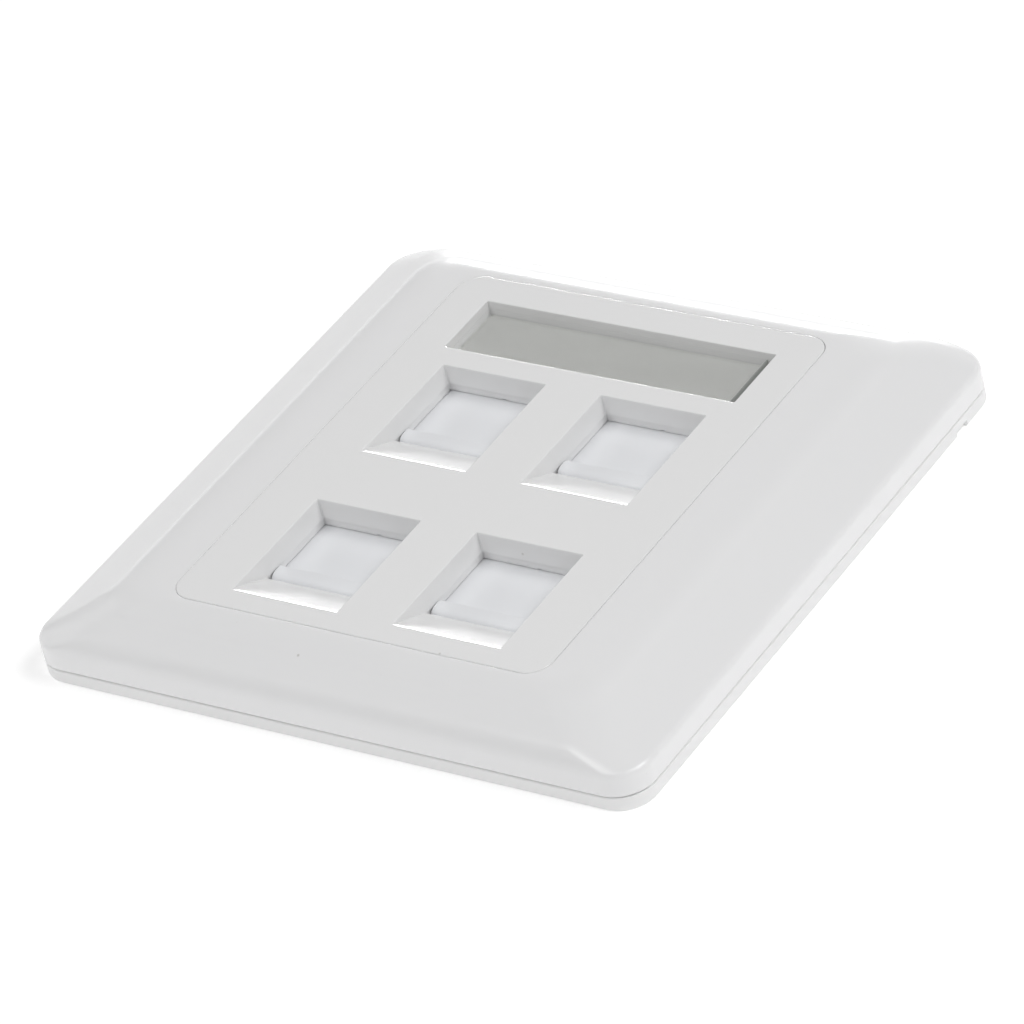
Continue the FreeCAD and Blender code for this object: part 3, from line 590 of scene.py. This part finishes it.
def cover_outside(s, flat_x, flat_y):
    """Heights and half widths from the foot of the wall to the flat front: a rounded foot, the wall, the
    rounded edges, the band, and the shoulder as a quadratic curve from the crease to the flat."""
    bottom = s.rim + s.seam
    foot = quarter(3)
    foot_z = np.append(bottom + s.foot_round * (1 - np.cos(foot)), bottom + s.foot_round + SUPPORT)
    foot_in = np.append(s.foot_round * (1 - np.sin(foot)), 0.0)
    crease_z = FRONT - s.crease_drop
    turns = np.linspace(0, QUARTER - s.band_slope, 17)
    band_z = np.linspace(s.wall_top + s.end_round * math.cos(s.band_slope), crease_z, 9)[1:]
    edge_z = s.wall_top + np.append(s.end_round * np.sin(turns), s.side_round * np.sin(turns[1:]))
    rise = np.append(np.sort(edge_z), band_z)
    half_x, half_y = half_at(s, rise, s.side_round), half_at(s, rise, s.end_round)
    lead = s.crease_drop / math.tan(s.shoulder_slope)
    t = np.linspace(0, 1, 17)[1:]
    start, control, end = (1 - t) ** 2, 2 * t * (1 - t), t ** 2
    shoulder_z = start * crease_z + (1 - start) * FRONT
    shoulder_x = start * half_x[-1] + control * (half_x[-1] - lead) + end * flat_x
    shoulder_y = start * half_y[-1] + control * (half_y[-1] - lead) + end * flat_y
    z = np.concatenate([foot_z, rise, shoulder_z])
    x = np.concatenate([COVER_HIGH.x - foot_in, half_x, shoulder_x])
    y = np.concatenate([COVER_HIGH.y - foot_in, half_y, shoulder_y])
    return z, x, y


def cover_inside(s, window_x, window_y, window_corner):
    """The rest of the closed section, with the plan radius: the window's edge, the skirt, and the inside of
    the shell, which is the outside moved in and down by the wall."""
    a = quarter(EDGE_STEPS)
    rim_z = np.append(FRONT, FRONT - s.window_round * (1 - np.cos(a)))
    rim_out = np.append(s.window_round + SUPPORT, s.window_round * (1 - np.sin(a)))
    lip, under = BASE_HIGH.z - s.seam, FRONT - s.wall
    skirt_z = np.array([lip, lip, under, under])
    skirt_out = np.array([0.0, s.skirt, s.skirt, s.skirt + SUPPORT])
    edge_z = s.wall_top + s.end_round * np.array([math.cos(s.band_slope), 0.5, 0.0])
    cave_z = np.append(FRONT - s.crease_drop, edge_z)
    cave_x, cave_y = half_at(s, cave_z, s.side_round) - s.wall, half_at(s, cave_z, s.end_round) - s.wall
    z = np.concatenate([rim_z, skirt_z, cave_z - s.wall, [s.rim + s.seam]])
    out = np.concatenate([rim_out, skirt_out])
    x = np.concatenate([window_x + out, cave_x, cave_x[-1:]])
    y = np.concatenate([window_y + out, cave_y, cave_y[-1:]])
    radius = np.concatenate([window_corner + out, np.full(len(cave_z) + 1, s.corner - s.wall)])
    return z, x, y, radius


def cover_hook(s, side_x, side_y):
    """Hook inside the upper or lower wall: a bar with a sloping barb that catches under the base's rim."""
    outer = COVER_HIGH.y - s.wall + STEP
    inner = COVER_HIGH.y - s.wall - s.hook_t
    tip = inner - s.hook_barb
    outline = [
        (side_y * outer, s.hook_top), (side_y * outer, s.hook_foot), (side_y * inner, s.hook_foot),
        (side_y * tip, s.hook_barb_top - s.hook_barb_h), (side_y * tip, s.hook_barb_top),
        (side_y * inner, s.hook_barb_top), (side_y * inner, s.hook_top)]
    start = side_x * s.hook_x - s.hook_w / 2
    return prism(outline, 0, start, start + s.hook_w)


def make_cover(s, panel):
    """Glossy cover: a closed section carried round a rounded rectangle, and four hooks."""
    window_x, window_y = PANEL_HIGH.x + panel.groove, PANEL_HIGH.y + panel.groove
    z, x, y = cover_outside(s, window_x + s.side_flat, window_y + s.end_flat)
    inner_z, inner_x, inner_y, inner_radius = cover_inside(
        s, window_x, window_y, panel.corner + panel.groove)
    radius = np.append(np.full(len(z), s.corner), inner_radius)
    rings = plan_rings(
        np.append(x, inner_x), np.append(y, inner_y), radius, np.append(z, inner_z), turn=COVER_TURN)
    parts = [tube(rings, closed=True)]
    parts += [cover_hook(s, side_x, side_y) for side_x in (-1, 1) for side_y in (-1, 1)]
    piece = build("cover_shell", parts, crisp=35.0)
    return dress(piece, "cover_gloss_white", "plate", "cover_frame")


# Port panel

def ramp_line(s, depth):
    """Where the ramp lies at a depth: a straight line from the rim to the foot, bulged up by a parabola."""
    t = depth / s.ramp_depth
    bulge = 4 * s.ramp_crown * t * (1 - t)
    return -s.port_h / 2 + s.ramp_run * t + bulge * s.ramp_run / s.ramp_depth


def well(s, u, v):
    """One port, from the front's rim down inside and back up outside. At each depth it is an outline whose
    lower side lies on the finger ramp. The walls close in with the draft and step outwards at their foot,
    and the upper wall has a small nick there."""
    a = quarter(EDGE_STEPS)[:-1]
    depth = np.concatenate([s.rim * (1 - np.cos(a)), np.linspace(s.rim, s.ramp_depth, 11), [s.draft_depth]])
    out = np.concatenate([s.rim * (1 - np.sin(a)), np.zeros(12)])
    share = depth / s.draft_depth
    half = s.port_w / 2 - s.draft * share + out
    top = s.port_h / 2 - s.top_draft * share + out
    low = ramp_line(s, np.minimum(depth, s.ramp_depth)) - out
    ramp_end = -s.port_h / 2 + s.ramp_run
    nick_depth = s.well_depth - s.nick_h
    foot_depths = [s.draft_depth, nick_depth - STEP, nick_depth, s.well_depth]
    foot_half, foot_top = half[-1] + s.relief, top[-1] + s.relief
    outer_half, outer_top = s.port_w / 2 + s.well_wall, s.port_h / 2 + s.well_wall
    outer_low = ramp_end - s.ramp_heel
    depth = np.concatenate([depth, foot_depths, [s.well_depth, s.plate]])
    half = np.concatenate([half, [foot_half] * 4, [outer_half] * 2])
    top = np.concatenate([top, [foot_top] * 4, [outer_top] * 2])
    low = np.concatenate([low, [ramp_end] * 4, [outer_low] * 2])
    corner = s.well_corner + np.append(out, np.zeros(6))
    middle = v + (top + low) / 2
    rings = plan_rings(
        half, (top - low) / 2, corner, FRONT - depth, u, middle, WELL_SIDE_POINTS, EDGE_STEPS)
    upper_side = 2 * (EDGE_STEPS + 1) + len(WELL_SIDE_POINTS)
    nick = np.arange(upper_side, upper_side + len(WELL_SIDE_POINTS))[NICK_POINTS]
    far = s.nick_near + s.nick_w
    rings[:, nick, 0] = u + np.array([far, far - STEP, s.nick_near + STEP, s.nick_near])
    rings[-4:-2, nick[1:3], 1] += s.nick_h
    return tube(rings)


def label_recess(s):
    """Label recess from its rim down to the card's bed, and the walls and the floor under it."""
    a = quarter(EDGE_STEPS)
    depth = np.append(s.rim * (1 - np.cos(a)), s.rim + SUPPORT)
    out = np.append(s.rim * (1 - np.sin(a)), [0.0, 0.0])
    middle = (CARD_LOW.y + CARD_HIGH.y) / 2
    half_x, half_y = s.label_w / 2, s.label_h / 2
    inside = plan_rings(
        half_x + out, half_y + out, s.well_corner + out, np.append(FRONT - depth, CARD_LOW.z), 0.0, middle,
        turn=EDGE_STEPS)
    under = [FRONT - s.plate, CARD_LOW.z - s.label_floor]
    outside = plan_rings(
        half_x + s.label_wall, half_y + s.label_wall, s.well_corner, under, 0.0, middle, turn=EDGE_STEPS)
    return [tube(inside, caps="last"), tube(outside, caps="last")]


def panel_edge(s):
    """Outer edge of the panel: the rounded front edge, the side, the skirt's foot and the skirt's inside."""
    a = quarter(PANEL_EDGE_STEPS)
    inset = np.concatenate([s.edge * (1 - np.sin(a)), [0.0, s.skirt, s.skirt]])
    foot = FRONT - s.skirt_drop
    z = np.concatenate([FRONT - s.edge * (1 - np.cos(a)), [foot, foot, FRONT - s.plate]])
    out = s.settle / 2
    return tube(plan_rings(
        PANEL_HIGH.x + out - inset, PANEL_HIGH.y + out - inset, s.corner - inset, z, -out, out,
        turn=PANEL_TURN))


def clip_arm(s, side, y):
    """Clip arm under the panel: a bar with a sloping barb at its foot."""
    outer = PANEL_HIGH.x - s.arm_in
    inner, tip = outer - s.arm_t, outer + s.arm_barb
    top, barb_top = FRONT - s.plate + SINK, s.arm_foot + s.arm_barb_h
    outline = [
        (side * inner, top), (side * inner, s.arm_foot), (side * outer, s.arm_foot),
        (side * tip, barb_top - SINK), (side * tip, barb_top), (side * outer, barb_top), (side * outer, top)]
    return prism(outline, 1, y - s.arm_w / 2, y + s.arm_w / 2)


def make_panel(s):
    """Flat insert: four ports, a label recess and an edge with a skirt, closed by flat faces, and the clip
    arms and the pegs behind it."""
    top = FRONT - s.plate + SINK
    parts = [panel_edge(s)] + label_recess(s)
    for place in PLACES:
        u, v = port_centre(s, place)
        parts.append(well(s, u, v))
        for side in (-1, 1):
            parts.append(rod((u + side * s.peg_out, v - s.peg_low), s.peg_r, 2, s.peg_foot, top))
    for side in (-1, 1):
        parts += [clip_arm(s, side, y) for y in (s.arm_low, PANEL_HIGH.y - s.arm_drop)]
    piece = build("panel_insert", parts, fills=(FRONT, FRONT - s.plate))
    return dress(piece, "panel_white", "plate", "port_panel")


# Shutters, label and springs

def finger_bar(s, u, near, foot, half):
    """Bar along X whose section is a quarter circle over the near edge and a smaller one over the far edge.
    At both ends the section shrinks towards its middle over a quarter circle."""
    a = quarter(BAR_STEPS)
    top, far = foot + SINK + s.bar_h, near + s.bar_l
    near_y, near_z = near + s.bar_front * (1 - np.cos(a)), top - s.bar_front * (1 - np.sin(a))
    far_y, far_z = far - s.bar_back * (1 - np.sin(a)), top - s.bar_back * (1 - np.cos(a))
    y = np.concatenate([[near], near_y, far_y, [far]])
    z = np.concatenate([[foot], near_z, far_z, [foot]])
    end = s.bar_end * (1 - np.sin(quarter(EDGE_STEPS)))
    shrink = 1 - np.concatenate([end, end[::-1]]) / (s.bar_l / 2)
    place = s.bar_end * (1 - np.cos(quarter(EDGE_STEPS)))
    x = u + np.concatenate([place - half, half - place[::-1]])
    middle = (near + far) / 2
    rings = np.zeros((len(x), len(y), 3))
    rings[..., 0] = x.reshape(-1, 1)
    rings[..., 1] = middle + shrink.reshape(-1, 1) * (y - middle)
    rings[..., 2] = foot + shrink.reshape(-1, 1) * (z - foot)
    return tube(rings, caps="first last")


def make_shutter(s, panel, place):
    """Dust shutter: a rounded plate, a finger bar over it, and the lug and the pin for the spring."""
    low, high = corners_of("shutter_" + place)
    coil_low, coil_high = corners_of("spring_" + place)
    u = port_centre(panel, place)[0]
    face, side = low.z + s.thick, u + s.half
    bar_half, bar_low = panel.port_w / 2 - s.bar_inset, low.y + s.bar_start
    ear_in, ear_end = high.x - s.ear_w, low.y + s.ear_l
    axis_x, axis_z = (coil_low.x + coil_high.x) / 2, (coil_low.z + coil_high.z) / 2
    plate_low, plate_high = (u - s.half, low.y, low.z), (side, high.y, face)
    neck_low, neck_high = (side - s.corner, low.y, low.z), (ear_in + SINK, ear_end, face)
    ear_low, ear_high = (ear_in, low.y, axis_z - s.ear_l / 2), (high.x, ear_end, axis_z + s.ear_l / 2)
    parts = [
        rounded_block(plate_low, plate_high, s.corner, s.edge, s.edge),
        finger_bar(s, u, bar_low, face - SINK, bar_half),
        rounded_block(neck_low, neck_high, s.edge, s.edge, s.edge),
        rounded_block(ear_low, ear_high, s.edge, s.edge, s.edge),
        rod((axis_x, axis_z), s.pin_r, 1, ear_end - SINK, ear_end + s.pin_l),
    ]
    piece = build("dust_shutter_" + place, parts)
    return dress(piece, "shutter_milky", "shutter_" + place, "shutter_" + place)


def make_strip(s):
    """Clear strip over the card, with fine rounded edges, and its sawn end on the right as a painted-shade
    sliver.
    """
    cut, edge = STRIP_HIGH.x - s.sawn_end, s.strip_edge
    clear_high, sawn_low = (cut - STEP, STRIP_HIGH.y, STRIP_HIGH.z), (cut, STRIP_LOW.y, STRIP_LOW.z)
    clear = [rounded_block(STRIP_LOW, clear_high, s.well_corner, edge, edge)]
    sawn = [rounded_block(sawn_low, STRIP_HIGH, edge, edge, edge)]
    # The sawn end's finish is painted shade
    dress(build("clear_window", clear), "clear_strip", "plate", "label_window")
    dress(build("sawn_end", sawn), "sawn_plastic", "plate", "label_window")


def make_spring(s, place):
    """Compression spring: the centre line goes round in X and Z while it moves along Y, and the wire is a
    circle across it, closed at both ends."""
    low, high = corners_of("spring_" + place)
    middle_x, middle_z = (low.x + high.x) / 2, (low.z + high.z) / 2
    radius = (high.x - low.x - s.wire) / 2
    t = np.linspace(0, 1, s.turns * s.steps + 1)
    turn = 2 * math.pi * s.turns * t
    y = low.y + s.wire / 2 + (high.y - low.y - s.wire) * t
    line = np.stack([middle_x + radius * np.cos(turn), y, middle_z + radius * np.sin(turn)], -1)
    along = np.gradient(line, axis=0)
    along /= np.linalg.norm(along, axis=1, keepdims=True)
    outward = np.stack([np.cos(turn), np.zeros_like(turn), np.sin(turn)], -1)
    across = np.cross(along, outward)
    a = np.linspace(0, 2 * math.pi, WIRE_SIDES, endpoint=False).reshape(1, -1, 1)
    rings = line[:, None] + s.wire / 2 * (outward[:, None] * np.cos(a) + across[:, None] * np.sin(a))
    piece = build("coil_" + place, [tube(rings, caps="first last")])
    dress(piece, "spring_wire", "plate", "spring_" + place)
    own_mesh(piece)
    return piece


# Operators

class FACEPLATE_OT_finishes(bpy.types.Operator):
    """Make every finish"""

    bl_idname = "faceplate.finishes"
    bl_label = "Finishes"

    def execute(self, context):
        c = context.scene.faceplate_colours
        moulded_white("cover_gloss_white", c.cover, rough=0.24, grain=900.0, depth=0.004 * MM, dusty=True)
        moulded_white("panel_white", c.panel, rough=0.15, grain=2600.0, depth=0.003 * MM, dusty=True)
        moulded_white("base_white", c.base, rough=0.46, grain=2400.0, depth=0.01 * MM, dusty=False)
        moulded_white("bay_white", c.base, rough=0.52, grain=2000.0, depth=0.01 * MM, dusty=False)
        milky_white("shutter_milky", c.shutter)
        clear_strip("clear_strip", c.strip)
        # Finish of the strip's end, darkened as painted shade
        sawn_plastic("sawn_plastic", c.strip)
        paper_card("card_grey", c.card)
        drawn_wire("spring_wire", c.steel)
        light_table("pale_floor", c.floor, context.scene.stage_sizes.table)
        return {"FINISHED"}


class FACEPLATE_OT_cover(bpy.types.Operator):
    """Shape the glossy cover"""

    bl_idname = "faceplate.cover"
    bl_label = "Cover"

    def execute(self, context):
        make_cover(context.scene.cover_sizes, context.scene.panel_sizes)
        return {"FINISHED"}


class FACEPLATE_OT_panel(bpy.types.Operator):
    """Shape the flat insert with its ports and its label recess"""

    bl_idname = "faceplate.panel"
    bl_label = "Port panel"

    def execute(self, context):
        make_panel(context.scene.panel_sizes)
        return {"FINISHED"}


class FACEPLATE_OT_label(bpy.types.Operator):
    """Shape the clear strip and finish the card under it"""

    bl_idname = "faceplate.label"
    bl_label = "Label"

    def execute(self, context):
        make_strip(context.scene.panel_sizes)
        finish_node("label_card", "card_grey")
        return {"FINISHED"}


class FACEPLATE_OT_shutters(bpy.types.Operator):
    """Shape the four dust shutters"""

    bl_idname = "faceplate.shutters"
    bl_label = "Shutters"

    def execute(self, context):
        for place in PLACES:
            make_shutter(context.scene.shutter_sizes, context.scene.panel_sizes, place)
        return {"FINISHED"}


class FACEPLATE_OT_springs(bpy.types.Operator):
    """Wind the four springs"""

    bl_idname = "faceplate.springs"
    bl_label = "Springs"

    def execute(self, context):
        for place in PLACES:
            make_spring(context.scene.spring_sizes, place)
        return {"FINISHED"}


class FACEPLATE_OT_back(bpy.types.Operator):
    """Finish the wall base and the four jack bays"""

    bl_idname = "faceplate.back"
    bl_label = "Base and bays"

    def execute(self, context):
        finish_node("base_plate", "base_white")
        for place in PLACES:
            finish_node("bay_" + place, "bay_white")
        return {"FINISHED"}


def soft_box(name, place, size, watts, gloss=1.0):
    """Rectangular soft light that faces the plate; gloss is its strength in reflections."""
    data = bpy.data.lights.new(name, "AREA")
    data.shape = "RECTANGLE"
    data.size, data.size_y = size
    data.energy = watts
    data.specular_factor = gloss
    lamp = bpy.data.objects.new(name, data)
    bpy.context.scene.collection.objects.link(lamp)
    lamp.location = place
    lamp.rotation_mode = "QUATERNION"
    lamp.rotation_quaternion = Vector(place).to_track_quat("Z", "Y")


def lay_floor():
    """Plain square floor, a hair above the plate's back so that the back stays clear of it from below."""
    mesh = bpy.data.meshes.new("studio_floor")
    corners = [(FLOOR_REACH * x, FLOOR_REACH * y, STEP) for x, y in ((-1, -1), (1, -1), (1, 1), (-1, 1))]
    mesh.from_pydata(corners, [], [(0, 1, 2, 3)])
    mesh.materials.append(bpy.data.materials["pale_floor"])
    floor = bpy.data.objects.new("studio_floor", mesh)
    bpy.context.scene.collection.objects.link(floor)


def camera_place():
    """The photograph's camera: its place, and its right, up and back directions made exactly square."""
    back = Vector(CAMERA_BACK).normalized()
    right = Vector(CAMERA_RIGHT)
    right = (right - back * right.dot(back)).normalized()
    turn = Matrix((right, back.cross(right), back)).transposed().to_4x4()
    return Matrix.Translation(CAMERA_PLACE) @ turn


class FACEPLATE_OT_stage(bpy.types.Operator):
    """Lay the floor, light it softly and set the camera"""

    bl_idname = "faceplate.stage"
    bl_label = "Stage"

    def execute(self, context):
        scene, s = context.scene, context.scene.stage_sizes
        scene.view_settings.view_transform = "Standard"
        lay_floor()
        world = bpy.data.worlds.new("studio")
        world.use_nodes = True
        sky = world.node_tree.nodes["Background"]
        sky.inputs["Color"].default_value = (1, 1, 1, 1)
        sky.inputs["Strength"].default_value = s.sky
        scene.world = world
        soft_box("far_box", FAR_PLACE, UPRIGHT_BOX, s.far_box)
        soft_box("left_box", LEFT_PLACE, UPRIGHT_BOX, s.left_box)
        soft_box("low_box", LOW_PLACE, STRIP_BOX, s.low_box, gloss=0.4)
        soft_box("right_box", RIGHT_PLACE, HIGH_BOX, s.right_box, gloss=0.3)
        soft_box("near_box", NEAR_PLACE, HIGH_BOX, s.near_box, gloss=0.0)
        data = bpy.data.cameras.new("photo_camera")
        data.sensor_width = SENSOR
        data.lens = s.lens
        data.clip_start, data.clip_end = NEAREST, FARTHEST
        camera = bpy.data.objects.new("photo_camera", data)
        scene.collection.objects.link(camera)
        camera.matrix_world = camera_place()
        scene.camera = camera
        return {"FINISHED"}


GROUPS = (
    ("cover_sizes", CoverSizes), ("panel_sizes", PanelSizes), ("shutter_sizes", ShutterSizes),
    ("spring_sizes", SpringSizes), ("stage_sizes", StageSizes), ("faceplate_colours", Colours))
OPERATORS = (
    FACEPLATE_OT_finishes, FACEPLATE_OT_cover, FACEPLATE_OT_panel, FACEPLATE_OT_label, FACEPLATE_OT_shutters,
    FACEPLATE_OT_springs, FACEPLATE_OT_back, FACEPLATE_OT_stage)


class FACEPLATE_PT_sidebar(bpy.types.Panel):
    """Sizes, colours and pieces of the faceplate"""

    bl_idname = "FACEPLATE_PT_sidebar"
    bl_label = "Faceplate"
    bl_space_type = "VIEW_3D"
    bl_region_type = "UI"
    bl_category = "Faceplate"

    def draw(self, context):
        for group_name, group in GROUPS:
            box = self.layout.box()
            box.label(text=group.__doc__)
            for name in group.__annotations__:
                box.prop(getattr(context.scene, group_name), name)
        for operator in OPERATORS:
            self.layout.operator(operator.bl_idname)


def register():
    """Registers every class and hangs the sizes and the colours on the scene."""
    for name, group in GROUPS:
        bpy.utils.register_class(group)
        setattr(bpy.types.Scene, name, bpy.props.PointerProperty(type=group))
    for cls in OPERATORS + (FACEPLATE_PT_sidebar,):
        bpy.utils.register_class(cls)


def unregister():
    """Takes the classes, the sizes and the colours away again."""
    for cls in (FACEPLATE_PT_sidebar,) + OPERATORS:
        bpy.utils.unregister_class(cls)
    for name, group in GROUPS:
        delattr(bpy.types.Scene, name)
        bpy.utils.unregister_class(group)


def main():
    """Runs every operator in order."""
    register()
    bpy.ops.faceplate.finishes()
    bpy.ops.faceplate.cover()
    bpy.ops.faceplate.panel()
    bpy.ops.faceplate.label()
    bpy.ops.faceplate.shutters()
    bpy.ops.faceplate.springs()
    bpy.ops.faceplate.back()
    bpy.ops.faceplate.stage()


if __name__ == "__main__":
    main()
